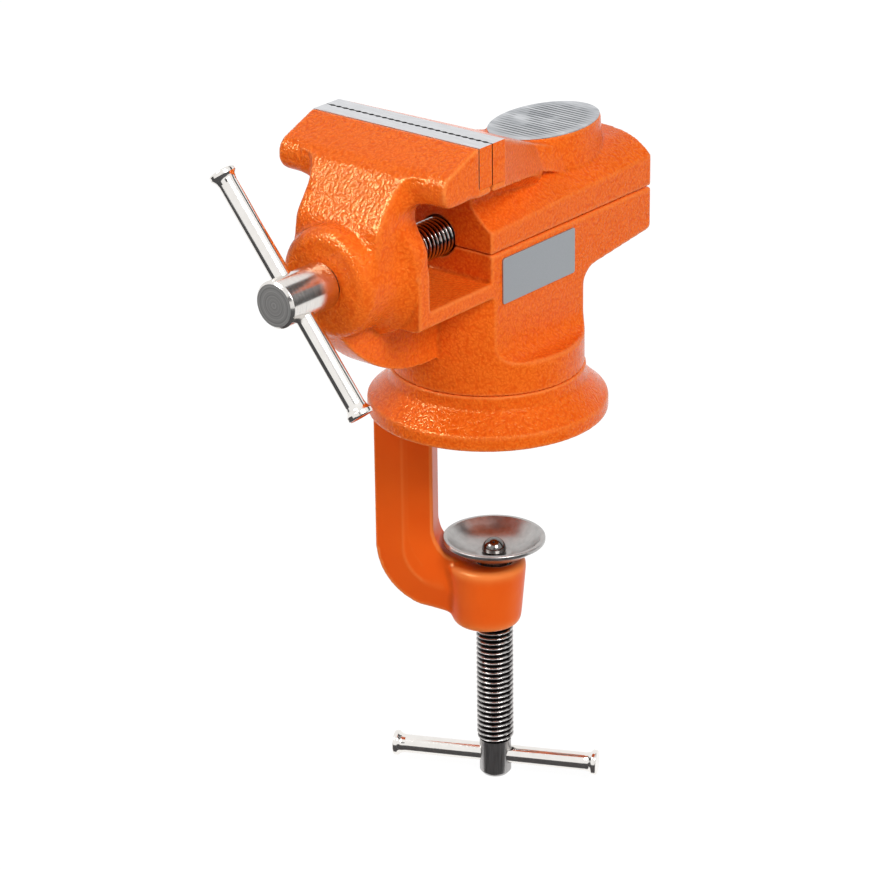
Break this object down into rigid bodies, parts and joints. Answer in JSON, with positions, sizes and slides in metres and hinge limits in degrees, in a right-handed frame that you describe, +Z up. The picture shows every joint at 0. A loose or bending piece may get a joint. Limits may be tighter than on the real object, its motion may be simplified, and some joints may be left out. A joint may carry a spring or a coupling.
{
  "type": "clamp-on swivel bench vise",
  "caption": "Small bench vise with an anvil, on a swivel base with a screw clamp for the edge of a bench.",
  "frame": {"origin": "on the swivel axis, in the flat underside of the round foot that rests on the bench", "axes": "+Z up along the swivel axis, +Y the way the rear jaw slides to open, +X the side with the label plate"},
  "size_m": [0.0756, 0.1549, 0.2321],
  "materials": {
    "enamel_casting": "glossy hammered enamel",
    "enamel_frame": "glossy enamel",
    "ground_steel": "ground",
    "plain_steel": "turned",
    "zinc_steel": "zinc plated",
    "nickel_steel": "bright nickel",
    "thread_steel": "rolled thread, bright",
    "pad_steel": "pressed sheet, semi-bright",
    "label_grey": "satin, bare"
  },
  "bodies": {
    "clamp_base": {"clamp_frame": "enamel_frame"},
    "vise_body": {"body_casting": "enamel_casting", "front_jaw_plate": "ground_steel", "front_plate_screws": "plain_steel", "label_plate": "label_grey", "swivel_bolt": "zinc_steel", "spring_washer": "zinc_steel", "flat_washer": "zinc_steel"},
    "rear_jaw": {"rear_jaw_casting": "enamel_casting", "rear_jaw_plate": "ground_steel", "rear_plate_screws": "plain_steel", "square_nut": "plain_steel"},
    "main_screw": {"main_screw": "nickel_steel", "retaining_collar": "plain_steel", "collar_pin": "plain_steel"},
    "main_handle": {"main_handle_rod": "nickel_steel", "main_handle_caps": "nickel_steel"},
    "pad_carrier": {"pad_rivet": "plain_steel"},
    "swivel_pad": {"swivel_pad": "pad_steel"},
    "clamp_screw": {"clamp_screw": "thread_steel"},
    "clamp_handle": {"clamp_handle_rod": "nickel_steel", "clamp_handle_caps": "nickel_steel"}
  },
  "joints": [
    {"name": "swivel", "type": "hinge", "parent": "clamp_base", "child": "vise_body", "pos_m": [0, 0, 0], "axis": [0, 0, 1], "continuous": true},
    {"name": "jaw_travel", "type": "slide", "parent": "vise_body", "child": "rear_jaw", "axis": [0, 1, 0], "range_m": [0, 0.045]},
    {"name": "main_turn", "type": "hinge", "parent": "vise_body", "child": "main_screw", "pos_m": [0, 0, 0.0632], "axis": [0, -1, 0], "range_deg": [0, 9260]},
    {"name": "main_handle_slide", "type": "slide", "parent": "main_screw", "child": "main_handle", "axis": [0.6293, 0, -0.7771], "range_m": [-0.0282, 0.0306]},
    {"name": "clamp_travel", "type": "slide", "parent": "clamp_base", "child": "pad_carrier", "axis": [0, 0, 1], "range_m": [0, 0.039]},
    {"name": "clamp_turn", "type": "hinge", "parent": "pad_carrier", "child": "clamp_screw", "pos_m": [0.00146, 0.00086, 0], "axis": [0, 0, 1], "range_deg": [0, 8026]},
    {"name": "clamp_handle_slide", "type": "slide", "parent": "clamp_screw", "child": "clamp_handle", "axis": [0.8988, 0.4384, 0], "range_m": [-0.0245, 0.0245]},
    {"name": "pad_tilt", "type": "hinge", "parent": "pad_carrier", "child": "swivel_pad", "pos_m": [0.00146, 0.00086, -0.0497], "axis": [0.8616, 0.5075, 0], "range_deg": [-8, 8]}
  ],
  "couplings": [
    {"joint": "main_turn", "follows": "jaw_travel", "rad_per_m": 3590.4},
    {"joint": "clamp_turn", "follows": "clamp_travel", "rad_per_m": 3590.4}
  ]
}
